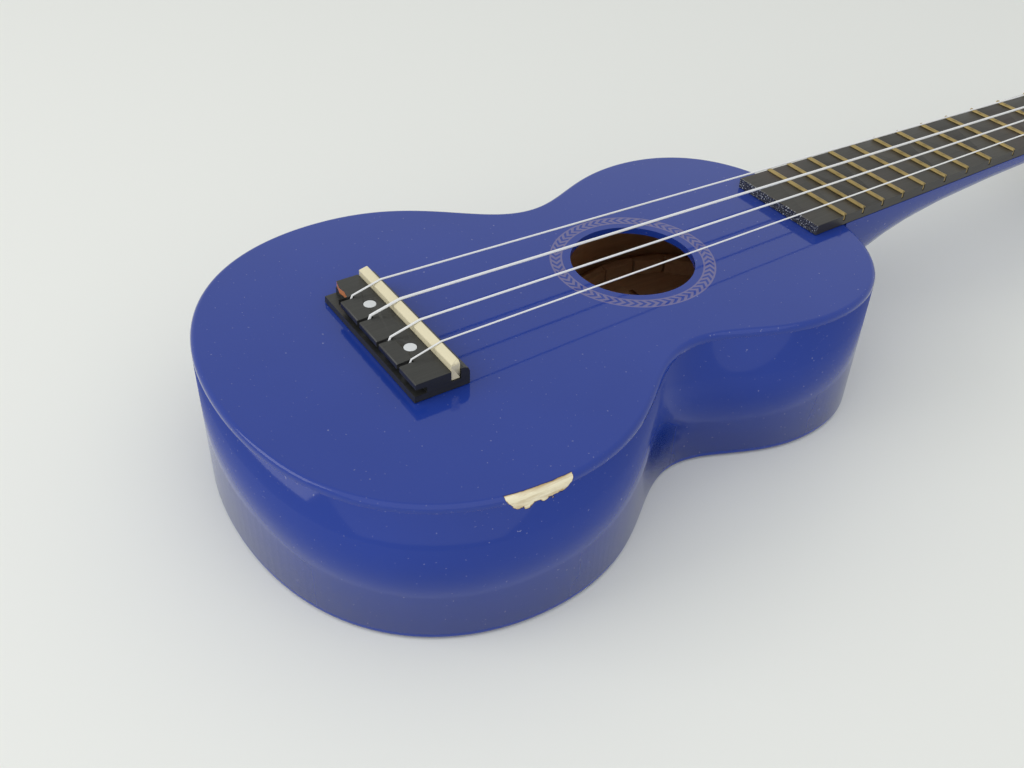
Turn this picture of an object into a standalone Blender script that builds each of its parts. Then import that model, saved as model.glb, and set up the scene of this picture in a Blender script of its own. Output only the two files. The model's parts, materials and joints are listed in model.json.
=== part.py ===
"""Soprano ukulele with a painted body, a slotted bridge and open geared tuning machines.

Metres. +X runs from the tail to the head, +Y to the bass side, +Z out of the soundboard.
x = 0 is the saddle's front ridge, and z = 0 is the outer face of the back plate.
"""
import math

import bmesh
import bpy
from mathutils import Matrix, Vector
from mathutils.geometry import interpolate_bezier

# Strings and scale
SCALE_LENGTH = 0.348
FRET_COUNT = 12
STRING_DIAMETER = {"G": 0.0007, "C": 0.0010, "E": 0.0008, "A": 0.0006}
STRING_RANK = {"G": 1.5, "C": 0.5, "E": -0.5, "A": -1.5}
SADDLE_SPACING = 0.0132
NUT_SPACING = 0.00824
STRING_OVER_TOP_AT_SADDLE = 0.01036
STRING_OVER_TOP_AT_NUT = 0.00618

# Body
BODY_DEPTH = 0.0556
PLATE = 0.0025
RIB = 0.0022
EDGE_ROUND = 0.0017
GAP = 0.0003
TAIL_X = -0.0664
LOWER_BOUT = (0.0031, 0.0804)
WAIST = (0.0786, 0.0490)
UPPER_BOUT = (0.1281, 0.0619)
NECK_END_X = 0.1779
SPAN_STEPS = 12
HOLE_X = 0.0898
HOLE_RADIUS = 0.0223
BLOCK_HALF = 0.022
NECK_BLOCK_FROM = 0.153
TAIL_BLOCK_TO = -0.052
LINING = (0.0045, 0.0070)
KERF_PITCH = 0.016
KERF = (0.0012, 0.0030)
BRACE_WIDTH = 0.006
BRACE_HEIGHT = 0.008

# Bridge
BRIDGE_BACK = -0.0158
BRIDGE_FRONT = 0.0034
BRIDGE_HALF = 0.0308
BRIDGE_TOP = 0.0070
SADDLE_X = (-0.0029, 0.0001)
SADDLE_HALF = 0.0304
STRING_SLOT = 0.0015
SLOT_END = -0.0102
SCREW_X = -0.0076
SCREW_Y = 0.0135
DOT_RADIUS = 0.0021

# Neck and fretboard
BOARD_FROM = 0.1593
BOARD_HALF_BODY = 0.0212
BOARD_HALF_NUT = 0.0163
BOARD_TOP = 0.0041
FRET_WIDTH = 0.0018
FRET_CROWN = 0.0009
NUT_THICK = 0.0043
NECK_DEPTH = 0.012
HEEL_DEPTH = 0.0505

# Headstock
HEAD_TILT = math.radians(10)
HEAD_THICK = 0.0105
HEAD_LENGTH = 0.108
HEAD_NUT_HALF = 0.0168
HEAD_HALF = 0.0245
POST_ALONG = {"G": 0.034, "C": 0.070, "E": 0.070, "A": 0.034}
POST_Y = 0.0135

# Tuning machines
TEETH = 14
WORM_PITCH = 0.0022
GEAR_PITCH_RADIUS = TEETH * WORM_PITCH / (2 * math.pi)
GEAR_OUTER = GEAR_PITCH_RADIUS + 0.00045
GEAR_ROOT = GEAR_PITCH_RADIUS - 0.00085
GEAR_THICK = 0.0034
WORM_PITCH_RADIUS = 0.0024
WORM_OUTER = 0.00285
WORM_ROOT = 0.00165
CENTRES = GEAR_PITCH_RADIUS + WORM_PITCH_RADIUS
TUNER_PLATE = 0.0010
WORM_BELOW = 0.0045
POST_RADIUS = 0.0030
POST_OVER_FACE = 0.0105
STRING_HOLE_OVER_FACE = 0.0078
WRAPS = 2.25
WRAP_POINTS = 24
EAR_FACE = 0.0045
SHAFT_RADIUS = 0.00125

TOP = BODY_DEPTH
BOARD_TAPER = (BOARD_HALF_BODY - BOARD_HALF_NUT) / (SCALE_LENGTH - BOARD_FROM)
HEAD_ORIGIN = Vector((SCALE_LENGTH + NUT_THICK + 0.0003, 0, TOP))


def clear_scene():
    for obj in list(bpy.data.objects):
        bpy.data.objects.remove(obj, do_unlink=True)


def new_collection(name):
    collection = bpy.data.collections.new(name)
    bpy.context.scene.collection.children.link(collection)
    return collection


clear_scene()
PARTS = new_collection("soprano_ukulele")
TOOLS = new_collection("cutters")


def material(name, colour, roughness, metallic=0.0):
    mat = bpy.data.materials.new(name)
    mat.use_nodes = True
    shader = mat.node_tree.nodes["Principled BSDF"]
    shader.inputs["Base Color"].default_value = (*colour, 1)
    shader.inputs["Roughness"].default_value = roughness
    shader.inputs["Metallic"].default_value = metallic
    return mat


BLUE = ("blue_lacquer", (0.035, 0.055, 0.30), 0.12)
BARE_WOOD = ("bare_wood", (0.45, 0.27, 0.13), 0.7)
BLACK_WOOD = ("black_wood", (0.03, 0.03, 0.028), 0.4)
IVORY = ("ivory_plastic", (0.80, 0.74, 0.55), 0.35)
NYLON = ("nylon", (0.85, 0.85, 0.84), 0.3)
BRASS = ("fret_brass", (0.75, 0.56, 0.25), 0.3, 1.0)
STEEL = ("plated_steel", (0.75, 0.75, 0.73), 0.25, 1.0)
PEARL = ("pearl", (0.72, 0.73, 0.72), 0.3)


def keep(obj, finish):
    """Files a finished piece with the parts and gives it its own material."""
    for collection in list(obj.users_collection):
        collection.objects.unlink(obj)
    PARTS.objects.link(obj)
    obj.data.materials.clear()
    obj.data.materials.append(material(obj.name + "_" + finish[0], *finish[1:]))
    return obj


def set_aside(obj):
    """Files a cutter or a joined shape away from the parts."""
    for collection in list(obj.users_collection):
        collection.objects.unlink(obj)
    TOOLS.objects.link(obj)
    obj.hide_render = True
    obj.display_type = "WIRE"
    return obj


def mesh_object(name, bm):
    mesh = bpy.data.meshes.new(name)
    bm.to_mesh(mesh)
    bm.free()
    obj = bpy.data.objects.new(name, mesh)
    TOOLS.objects.link(obj)
    return obj


def baked(obj):
    """Replaces a curve or a piece with live modifiers by its welded mesh."""
    bpy.context.view_layer.update()
    depsgraph = bpy.context.evaluated_depsgraph_get()
    mesh = bpy.data.meshes.new_from_object(obj.evaluated_get(depsgraph))
    bm = bmesh.new()
    bm.from_mesh(mesh)
    bmesh.ops.remove_doubles(bm, verts=bm.verts, dist=0.000002)
    bmesh.ops.recalc_face_normals(bm, faces=bm.faces)
    bm.to_mesh(mesh)
    bm.free()
    name = obj.name
    place = obj.matrix_world.copy()
    bpy.data.objects.remove(obj, do_unlink=True)
    result = bpy.data.objects.new(name, mesh)
    result.matrix_world = place
    TOOLS.objects.link(result)
    return result


def flat_solid(name, loops, low, high, place=Matrix.Identity(4)):
    """A flat outline, its first loop outside and the others holes, filled from low to high."""
    curve = bpy.data.curves.new(name, "CURVE")
    curve.dimensions = "2D"
    curve.fill_mode = "BOTH"
    curve.extrude = (high - low) / 2
    for loop in loops:
        spline = curve.splines.new("POLY")
        spline.points.add(len(loop) - 1)
        for point, (x, y) in zip(spline.points, loop):
            point.co = (x, y, 0, 1)
        spline.use_cyclic_u = True
    obj = bpy.data.objects.new(name, curve)
    TOOLS.objects.link(obj)
    obj.matrix_world = place @ Matrix.Translation((0, 0, (low + high) / 2))
    solid = baked(obj)
    bm = bmesh.new()
    bm.from_mesh(solid.data)
    bmesh.ops.dissolve_limit(bm, angle_limit=0.0005, verts=bm.verts, edges=bm.edges)
    bm.to_mesh(solid.data)
    bm.free()
    return solid


def turned(name, profile, steps, place=Matrix.Identity(4)):
    """A profile of (radius, height) points, from top to bottom, turned about Z."""
    bm = bmesh.new()
    verts = [bm.verts.new((radius, 0, height)) for radius, height in profile]
    for first, second in zip(verts, verts[1:]):
        bm.edges.new((first, second))
    obj = mesh_object(name, bm)
    screw = obj.modifiers.new("Turn", "SCREW")
    screw.steps = steps
    screw.render_steps = steps
    screw.use_merge_vertices = True
    screw.merge_threshold = 0.000001
    obj.matrix_world = place
    return baked(obj)


def tube(name, points, radius, sides_level=1, scales=None):
    """A round wire through the points, with filled ends."""
    curve = bpy.data.curves.new(name, "CURVE")
    curve.dimensions = "3D"
    curve.bevel_depth = radius
    curve.bevel_resolution = sides_level
    curve.use_fill_caps = True
    spline = curve.splines.new("POLY")
    spline.points.add(len(points) - 1)
    for index, (point, position) in enumerate(zip(spline.points, points)):
        point.co = (*position, 1)
        point.radius = scales[index] if scales else 1.0
    obj = bpy.data.objects.new(name, curve)
    TOOLS.objects.link(obj)
    return baked(obj)


def box(name, low, high, place=Matrix.Identity(4)):
    bm = bmesh.new()
    size = [b - a for a, b in zip(low, high)]
    middle = [(a + b) / 2 for a, b in zip(low, high)]
    bmesh.ops.create_cube(bm, size=1.0, matrix=Matrix.Translation(middle) @ Matrix.Diagonal((*size, 1)))
    obj = mesh_object(name, bm)
    obj.matrix_world = place
    return obj


def rod(name, centre, radius, low, high, sides=16, place=Matrix.Identity(4)):
    """A cylinder along the local Z axis, through centre (x, y)."""
    bm = bmesh.new()
    middle = Matrix.Translation((*centre, (low + high) / 2))
    bmesh.ops.create_cone(bm, cap_ends=True, segments=sides, radius1=radius, radius2=radius,
                          depth=high - low, matrix=middle)
    obj = mesh_object(name, bm)
    obj.matrix_world = place
    return obj


def combine(obj, others, operation="DIFFERENCE"):
    for other in others:
        set_aside(other)
        boolean = obj.modifiers.new(other.name, "BOOLEAN")
        boolean.operation = operation
        boolean.solver = "EXACT"
        boolean.object = other
    return obj


def round_edges(obj, width, segments, chosen):
    """Rounds the edges whose two ends, in the mesh's own frame, are chosen."""
    weights = obj.data.attributes.new("bevel_weight_edge", "FLOAT", "EDGE")
    for edge in obj.data.edges:
        ends = [obj.data.vertices[index].co for index in edge.vertices]
        weights.data[edge.index].value = 1.0 if all(chosen(end) for end in ends) else 0.0
    bevel = obj.modifiers.new("Rounded edge", "BEVEL")
    bevel.limit_method = "WEIGHT"
    bevel.width = width
    bevel.segments = segments
    return obj


def shade(obj):
    obj.data.shade_smooth()
    obj.data.set_sharp_from_angle(angle=math.radians(35))
    return obj


def circle(x, y, radius, sides, start=0.0):
    step = 2 * math.pi / sides
    return [(x + radius * math.cos(start + step * i), y + radius * math.sin(start + step * i))
            for i in range(sides)]


def arc(x, y, radius, start, end, steps):
    angles = [math.radians(start + (end - start) * i / steps) for i in range(steps + 1)]
    return [(x + radius * math.cos(a), y + radius * math.sin(a)) for a in angles]


def half_outline(inset=0.0):
    """The bass side's outline from the tail to the neck, moved inwards by the inset."""
    lower_x, lower_y = LOWER_BOUT
    waist_x, waist_y = WAIST
    upper_x, upper_y = UPPER_BOUT
    spans = [
        ((TAIL_X, 0), (TAIL_X, 0.056), (lower_x - 0.0365, lower_y), LOWER_BOUT),
        (LOWER_BOUT, (lower_x + 0.0428, lower_y), (waist_x - 0.0229, waist_y), WAIST),
        (WAIST, (waist_x + 0.0147, waist_y), (upper_x - 0.023, upper_y), UPPER_BOUT),
        (UPPER_BOUT, (upper_x + 0.0265, upper_y), (NECK_END_X, 0.0449), (NECK_END_X, 0)),
    ]
    line = []
    for start, out, into, end in spans:
        points = interpolate_bezier(Vector(start), Vector(out), Vector(into), Vector(end), SPAN_STEPS + 1)
        line.extend(points if not line else points[1:])
    moved = []
    for index, point in enumerate(line):
        if index in (0, len(line) - 1):
            normal = Vector((1 if index == 0 else -1, 0))
        else:
            run = line[index + 1] - line[index - 1]
            normal = Vector((run.y, -run.x)).normalized()
        moved.append(point + normal * inset)
    return moved


def full_outline(inset=0.0):
    bass = half_outline(inset)
    treble = [Vector((p.x, -p.y)) for p in reversed(bass[1:-1])]
    return bass + treble


def lengths_along(line):
    total = [0.0]
    for first, second in zip(line, line[1:]):
        total.append(total[-1] + (second - first).length)
    return total


def point_along(line, lengths, distance):
    """The position and inward normal at a distance along the bass outline."""
    for index in range(1, len(line)):
        if lengths[index] >= distance or index == len(line) - 1:
            part = (distance - lengths[index - 1]) / (lengths[index] - lengths[index - 1])
            run = line[index] - line[index - 1]
            return line[index - 1] + run * part, Vector((run.y, -run.x)).normalized()


def mirrored(loop, side):
    return [(x, y * side) for x, y in loop][::side]


def soundboard():
    outline = full_outline()
    hole = circle(HOLE_X, 0, HOLE_RADIUS, 40)
    screws = [circle(SCREW_X, side * SCREW_Y, 0.0016, 8) for side in (1, -1)]
    obj = flat_solid("soundboard", [outline, hole, *screws], TOP - PLATE, TOP)
    outer = {(round(p[0], 5), round(p[1], 5)) for p in outline}
    round_edges(obj, EDGE_ROUND, 3,
                lambda co: co.z > 0 and (round(co.x, 5), round(co.y, 5)) in outer)
    return keep(shade(obj), BLUE)


def back_plate():
    obj = flat_solid("back_plate", [full_outline()], 0, PLATE)
    round_edges(obj, EDGE_ROUND, 3, lambda co: co.z < 0)
    return keep(shade(obj), BLUE)


def ribs():
    """Each side is a bent strip: an open ribbon given its thickness inwards."""
    low = PLATE + GAP
    high = TOP - PLATE - GAP
    for name, side in (("bass_rib", 1), ("treble_rib", -1)):
        line = [(p.x, max(p.y, GAP / 2) * side) for p in half_outline()]
        curve = bpy.data.curves.new(name, "CURVE")
        curve.dimensions = "2D"
        curve.fill_mode = "NONE"
        curve.extrude = (high - low) / 2
        spline = curve.splines.new("POLY")
        spline.points.add(len(line) - 1)
        for point, (x, y) in zip(spline.points, line):
            point.co = (x, y, 0, 1)
        ribbon = bpy.data.objects.new(name, curve)
        TOOLS.objects.link(ribbon)
        ribbon.location.z = (low + high) / 2
        obj = baked(ribbon)
        wall = obj.modifiers.new("Wall", "SOLIDIFY")
        wall.thickness = RIB
        wall.offset = rib_offset(obj.data)
        wall.use_even_offset = True
        keep(shade(obj), BLUE)


def rib_offset(mesh):
    """Solidify grows along the normals at +1, so the sign is read from a face at the tail."""
    face = min(mesh.polygons, key=lambda polygon: polygon.center.x)
    return 1.0 if face.normal.x > 0 else -1.0


def blocks():
    """The neck and tail blocks fill the inside of the ribs' ends."""
    inner = half_outline(RIB + GAP)
    low = PLATE + GAP
    high = TOP - PLATE - GAP
    for name, edge, ahead in (("neck_block", NECK_BLOCK_FROM, 1), ("tail_block", TAIL_BLOCK_TO, -1)):
        bass = [p for p in inner if abs(p.y) < BLOCK_HALF and (p.x - HOLE_X) * ahead > 0]
        bass.sort(key=lambda p: p.y)
        rounded = [(p.x, p.y) for p in bass] + [(p.x, -p.y) for p in bass[1:]][::-1]
        rounded = sorted(rounded, key=lambda p: p[1])
        loop = [(edge, -BLOCK_HALF), *rounded, (edge, BLOCK_HALF)]
        keep(flat_solid(name, [loop], low, high), BARE_WOOD)


def lining_loop():
    """A kerfed strip in plan: an unbroken outer edge and saw cuts from the inside."""
    outer = half_outline(RIB + GAP)
    lengths = lengths_along(outer)
    start = next(s for p, s in zip(outer, lengths) if p.y > BLOCK_HALF + 0.001)
    end = next(s for p, s in zip(reversed(outer), reversed(lengths)) if p.y > BLOCK_HALF + 0.001)
    count = round((end - start) / KERF_PITCH)
    pitch = (end - start) / count
    edge = [p for p, s in zip(outer, lengths) if start < s < end]
    first, _ = point_along(outer, lengths, start)
    last, _ = point_along(outer, lengths, end)
    edge = [first, *edge, last]
    inside = []
    for tooth in range(count):
        for place in (tooth * pitch + KERF[0] / 2, (tooth + 1) * pitch - KERF[0] / 2):
            position, normal = point_along(outer, lengths, start + place)
            cut = position + normal * (LINING[0] - KERF[1])
            crest = position + normal * LINING[0]
            inside.extend((cut, crest) if place < (tooth + 0.5) * pitch else (crest, cut))
    return [(p.x, p.y) for p in edge] + [(p.x, p.y) for p in reversed(inside)]


def linings():
    loop = lining_loop()
    under_top = (TOP - PLATE - GAP - LINING[1], TOP - PLATE - GAP)
    over_back = (PLATE + GAP, PLATE + GAP + LINING[1])
    for level, (low, high) in (("top", under_top), ("back", over_back)):
        for name, side in (("bass", 1), ("treble", -1)):
            keep(flat_solid(name + "_" + level + "_lining", [mirrored(loop, side)], low, high), BARE_WOOD)


def brace(name, x, half_length, base_z, up):
    """A bar across the plate, with ends that taper away; up is the side it stands on."""
    tip = BRACE_HEIGHT * 0.3
    side_view = [(-half_length, 0), (half_length, 0), (half_length, tip), (half_length - 0.016, BRACE_HEIGHT),
                 (-half_length + 0.016, BRACE_HEIGHT), (-half_length, tip)]
    turn = Matrix(((0, 0, 1, x), (1, 0, 0, 0), (0, 1, 0, base_z), (0, 0, 0, 1)))
    flip = Matrix.Diagonal((1, up, 1, 1))
    loop = [(flip @ Vector((a, b, 0)))[:2] for a, b in side_view]
    keep(flat_solid(name, [loop], -BRACE_WIDTH / 2, BRACE_WIDTH / 2, turn), BARE_WOOD)


def braces():
    top = TOP - PLATE - GAP
    back = PLATE + GAP
    brace("upper_top_brace", 0.127, 0.0535, top, -1)
    brace("lower_top_brace", 0.056, 0.0480, top, -1)
    brace("upper_back_brace", 0.120, 0.0520, back, 1)
    brace("lower_back_brace", 0.020, 0.0680, back, 1)
    patch = box("bridge_patch", (-0.021, -0.038, top - 0.0025), (0.010, 0.038, top))
    holes = [rod("patch_hole", (SCREW_X, side * SCREW_Y), 0.0016, top - 0.01, top + 0.01, 8)
             for side in (1, -1)]
    keep(combine(patch, holes), BARE_WOOD)


def bridge():
    """The section is drawn from the side: saddle slot on top, knot channel open to the back."""
    section = [
        (BRIDGE_BACK, GAP), (BRIDGE_FRONT, GAP), (BRIDGE_FRONT, 0.0050), (0.0028, 0.0064),
        (0.0014, BRIDGE_TOP), (SADDLE_X[1] + 0.0002, BRIDGE_TOP), (SADDLE_X[1] + 0.0002, 0.0033),
        (SADDLE_X[0] - 0.0002, 0.0033), (SADDLE_X[0] - 0.0002, BRIDGE_TOP), (-0.0150, BRIDGE_TOP),
        (-0.0153, 0.0067), (-0.0153, 0.0050), (-0.0115, 0.0048), (-0.0115, 0.0026),
        (-0.0156, 0.0025),
    ]
    across = Matrix(((1, 0, 0, 0), (0, 0, -1, 0), (0, 1, 0, TOP), (0, 0, 0, 1)))
    obj = flat_solid("bridge", [section], -BRIDGE_HALF, BRIDGE_HALF, across)
    cutters = []
    for rank in STRING_RANK.values():
        y = rank * SADDLE_SPACING
        cutters.append(box("string_slot", (BRIDGE_BACK - 0.001, y - STRING_SLOT / 2, TOP + 0.0028),
                           (SLOT_END, y + STRING_SLOT / 2, TOP + 0.009)))
    for side in (1, -1):
        centre = (SCREW_X, side * SCREW_Y)
        cutters.append(rod("screw_hole", centre, 0.0016, TOP - 0.001, TOP + 0.005, 12))
        cutters.append(rod("screw_recess", centre, DOT_RADIUS + 0.0002, TOP + 0.0038, TOP + 0.009, 20))
    keep(combine(obj, cutters), BLACK_WOOD)


def bridge_screws():
    for name, side in (("bass", 1), ("treble", -1)):
        centre = Matrix.Translation((SCREW_X, side * SCREW_Y, TOP))
        profile = [(0, 0.0056), (0.0019, 0.0056), (0.0019, 0.0046), (0.0013, 0.0041),
                   (0.0012, -0.0045), (0, -0.0062)]
        keep(shade(turned("bridge_screw_" + name, profile, 12, centre)), STEEL)
        dot = [(0, 0.0070), (0.0019, 0.0070), (DOT_RADIUS, 0.0069), (DOT_RADIUS, 0.0060), (0, 0.0060)]
        keep(shade(turned("bridge_dot_" + name, dot, 20, centre)), PEARL)


def string_path(name):
    """From the knot under the bridge, over saddle and nut, then up and round its post."""
    radius = STRING_DIAMETER[name] / 2
    rank = STRING_RANK[name]
    y = rank * SADDLE_SPACING
    knot = [
        Vector((-0.0139, y, TOP + 0.0038)), Vector((-0.0136, y, TOP + 0.0038)),
        Vector((-0.0128, y, TOP + 0.0038)), Vector((-0.0122 - radius / 2, y, TOP + 0.0042)),
    ]
    rise = [
        Vector((-0.0112 - radius, y, TOP + 0.0056)),
        Vector((SLOT_END - 0.0001 - radius, y, TOP + BRIDGE_TOP + 0.0002 + radius)),
        Vector((-0.0002, y, TOP + STRING_OVER_TOP_AT_SADDLE)),
    ]
    nut = Vector((SCALE_LENGTH, rank * NUT_SPACING, TOP + STRING_OVER_TOP_AT_NUT))
    return knot + rise + [nut] + wraps(name, nut)


def head_frame():
    """The headstock's frame: along it, across it and out of its front face."""
    cos, sin = math.cos(HEAD_TILT), math.sin(HEAD_TILT)
    turn = Matrix(((cos, 0, sin, 0), (0, 1, 0, 0), (-sin, 0, cos, 0), (0, 0, 0, 1)))
    return Matrix.Translation(HEAD_ORIGIN) @ turn


def wraps(name, nut):
    frame = head_frame()
    side = 1 if STRING_RANK[name] > 0 else -1
    diameter = STRING_DIAMETER[name]
    radius = POST_RADIUS + 0.0002 + diameter / 2
    pitch = diameter + 0.0006
    local = frame.inverted() @ nut
    post = Vector((POST_ALONG[name], POST_Y * side))
    away = Vector((local.x, local.y)) - post
    start = math.atan2(away.y, away.x) + side * math.acos(radius / away.length)
    points = []
    for step in range(round(WRAPS * WRAP_POINTS) + 1):
        angle = start + side * 2 * math.pi * step / WRAP_POINTS
        height = 0.0026 + pitch * step / WRAP_POINTS
        spot = Vector((post.x + radius * math.cos(angle), post.y + radius * math.sin(angle), height))
        points.append(frame @ spot)
    return points


def least_gap(points, diameter):
    """The smallest clear distance between two wraps that are half a turn or more apart."""
    coil = points[-round(WRAPS * WRAP_POINTS) - 1:]
    apart = WRAP_POINTS // 2
    near = min((coil[i] - coil[j]).length for i in range(len(coil)) for j in range(i + apart, len(coil)))
    return near - diameter


def strings():
    for name, diameter in STRING_DIAMETER.items():
        points = string_path(name)
        knot_scale = 0.0009 / (diameter / 2)
        scales = [knot_scale * 0.6, knot_scale, knot_scale] + [1.0] * (len(points) - 3)
        obj = tube("string_" + name, points, diameter / 2, 1, scales)
        keep(shade(obj), NYLON)
        print("string_" + name, "least gap to itself", round(least_gap(points, diameter) * 1000, 2), "mm")


def string_clearance(name, first, last, extra):
    """A fatter copy of a string's path, to cut its groove."""
    chosen = string_path(name)[first:last]
    return tube("groove_" + name, chosen, STRING_DIAMETER[name] / 2 + extra, 2)


def saddle():
    """A bone-coloured strip whose top slopes back from the ridge, with cut corners."""
    x0, x1 = SADDLE_X
    section = [(x0, 0.0035), (x1, 0.0035), (x1, 0.0097), (x1 - 0.0005, 0.0102), (x0 + 0.0003, 0.0092), (x0, 0.0088)]
    across = Matrix(((1, 0, 0, 0), (0, 0, -1, 0), (0, 1, 0, TOP), (0, 0, 0, 1)))
    obj = flat_solid("saddle", [section], -SADDLE_HALF, SADDLE_HALF, across)
    cutters = []
    for side in (1, -1):
        corner = [(side * (SADDLE_HALF - 0.0022), 0.0120), (side * (SADDLE_HALF + 0.0010), 0.0120),
                  (side * (SADDLE_HALF + 0.0010), 0.0073)]
        upright = Matrix(((0, 0, 1, -0.0015), (1, 0, 0, 0), (0, 1, 0, TOP), (0, 0, 0, 1)))
        cutters.append(flat_solid("saddle_corner", [corner[::side]], -0.004, 0.004, upright))
    for name in STRING_DIAMETER:
        cutters.append(string_clearance(name, 4, 8, 0.0002))
    keep(combine(obj, cutters), IVORY)


def board_half(x):
    return BOARD_HALF_BODY - BOARD_TAPER * (x - BOARD_FROM)


def fret_x(number):
    return SCALE_LENGTH * 2 ** (-number / 12)


def fretboard():
    end = SCALE_LENGTH - GAP
    loop = [(BOARD_FROM, -board_half(BOARD_FROM)), (end, -board_half(end)),
            (end, board_half(end)), (BOARD_FROM, board_half(BOARD_FROM))]
    obj = flat_solid("fretboard", [loop], TOP + GAP, TOP + BOARD_TOP)
    slots = []
    for number in range(1, FRET_COUNT + 1):
        x = fret_x(number)
        slots.append(box("fret_slot", (x - 0.00055, -0.03, TOP + BOARD_TOP - 0.0022),
                         (x + 0.00055, 0.03, TOP + BOARD_TOP + 0.001)))
    keep(combine(obj, slots), BLACK_WOOD)


def frets():
    """Each fret has a round crown on the board and a tang in its slot."""
    for number in range(1, FRET_COUNT + 1):
        x = fret_x(number)
        crown_base = BOARD_TOP + 0.0001
        crown = [(FRET_WIDTH / 2 * math.cos(math.radians(a)), crown_base + 0.0002
                  + (FRET_CROWN - 0.0002) * math.sin(math.radians(a))) for a in (0, 30, 60, 90, 120, 150, 180)]
        section = [(0.0003, BOARD_TOP - 0.0019), (0.0003, crown_base), (FRET_WIDTH / 2, crown_base), *crown,
                   (-FRET_WIDTH / 2, crown_base), (-0.0003, crown_base), (-0.0003, BOARD_TOP - 0.0019)]
        half = board_half(x) - 0.0002
        across = Matrix(((1, 0, 0, x), (0, 0, -1, 0), (0, 1, 0, TOP), (0, 0, 0, 1)))
        keep(shade(flat_solid(f"fret_{number:02d}", [section], -half, half, across)), BRASS)


def nut():
    x0 = SCALE_LENGTH
    x1 = SCALE_LENGTH + NUT_THICK
    section = [(x0, GAP), (x1, GAP), (x1, 0.0044), (x1 - 0.0012, 0.0057), (x0 + 0.0010, 0.0064), (x0, 0.0063)]
    across = Matrix(((1, 0, 0, 0), (0, 0, -1, 0), (0, 1, 0, TOP), (0, 0, 0, 1)))
    half = BOARD_HALF_NUT
    obj = flat_solid("nut", [section], -half, half, across)
    cutters = [string_clearance(name, 6, 9, 0.0002) for name in STRING_DIAMETER]
    keep(combine(obj, cutters), IVORY)


def neck_depth(x):
    """The neck's thickness below the soundboard's plane, swelling into the heel."""
    taper = 0.003 * (SCALE_LENGTH - x) / (SCALE_LENGTH - NECK_END_X)
    heel = 0.036 * math.exp(-(x - NECK_END_X) / 0.026)
    return min(NECK_DEPTH + taper + heel, HEEL_DEPTH)


def neck_section(x, top, half, depth, steps=12):
    """A flat top and a half ellipse below it."""
    ring = []
    for i in range(steps + 1):
        angle = math.pi * i / steps
        ring.append(Vector((x, half * math.cos(angle), top - depth * math.sin(angle))))
    return ring


def neck_shaft():
    """A loft from the heel to the back of the headstock."""
    stations = [0.168, 0.176, 0.179, 0.183, 0.188, 0.194, 0.201, 0.210, 0.222, 0.240, 0.270, 0.310, 0.348, 0.3526]
    rings = []
    for x in stations:
        rings.append(neck_section(x, TOP - 0.00001, board_half(x), neck_depth(x)))
    frame = head_frame()
    for along, half, depth in ((0.008, 0.0145, 0.0120), (0.015, 0.0105, 0.0113), (0.020, 0.006, 0.0098)):
        ring = neck_section(along, -0.002, half, depth - 0.002)
        rings.append([frame @ point for point in ring])
    bm = bmesh.new()
    rows = [[bm.verts.new(point) for point in ring] for ring in rings]
    for first, second in zip(rows, rows[1:]):
        count = len(first)
        for i in range(count):
            j = (i + 1) % count
            bm.faces.new((first[i], first[j], second[j], second[i]))
    bm.faces.new(rows[0][::-1])
    bm.faces.new(rows[-1])
    bmesh.ops.recalc_face_normals(bm, faces=bm.faces)
    return mesh_object("neck", bm)


def head_outline():
    """Bass side from the nut to the tip, in the headstock's frame, then mirrored."""
    shoulder = interpolate_bezier(Vector((-0.0004, HEAD_NUT_HALF)), Vector((0.010, HEAD_NUT_HALF)),
                                  Vector((0.008, HEAD_HALF)), Vector((0.022, HEAD_HALF)), 9)
    flank = interpolate_bezier(Vector((0.022, HEAD_HALF)), Vector((0.050, HEAD_HALF - 0.001)),
                               Vector((0.080, HEAD_HALF - 0.001)), Vector((0.099, HEAD_HALF + 0.0015)), 9)
    corner = interpolate_bezier(Vector((0.099, HEAD_HALF + 0.0015)), Vector((0.107, HEAD_HALF + 0.0025)),
                                Vector((HEAD_LENGTH, 0.020)), Vector((HEAD_LENGTH - 0.001, 0.013)), 7)
    crest = interpolate_bezier(Vector((HEAD_LENGTH - 0.001, 0.013)), Vector((HEAD_LENGTH - 0.0025, 0.006)),
                               Vector((HEAD_LENGTH - 0.004, 0.003)), Vector((HEAD_LENGTH - 0.004, 0)), 5)
    bass = [*shoulder, *flank[1:], *corner[1:], *crest[1:]]
    return [(p.x, p.y) for p in bass] + [(p.x, -p.y) for p in reversed(bass[:-1])]


def neck():
    frame = head_frame()
    obj = neck_shaft()
    paddle = flat_solid("paddle", [head_outline()], -HEAD_THICK, 0, frame)
    body_room = flat_solid("body_room", [full_outline(-GAP)], TOP - 0.08, TOP + 0.02)
    bores = []
    for name, along in POST_ALONG.items():
        side = 1 if STRING_RANK[name] > 0 else -1
        bores.append(rod("post_bore", (along, side * POST_Y), 0.0045, -HEAD_THICK - 0.005, 0.005, 20, frame))
    combine(obj, [paddle], "UNION")
    combine(obj, [body_room, *bores])
    keep(shade(baked(obj)), BLUE)


def tuner_frame(name):
    """Origin on the post's axis at the headstock's back face: along, bass side, front."""
    side = 1 if STRING_RANK[name] > 0 else -1
    return head_frame() @ Matrix.Translation((POST_ALONG[name], side * POST_Y, -HEAD_THICK))


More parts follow.
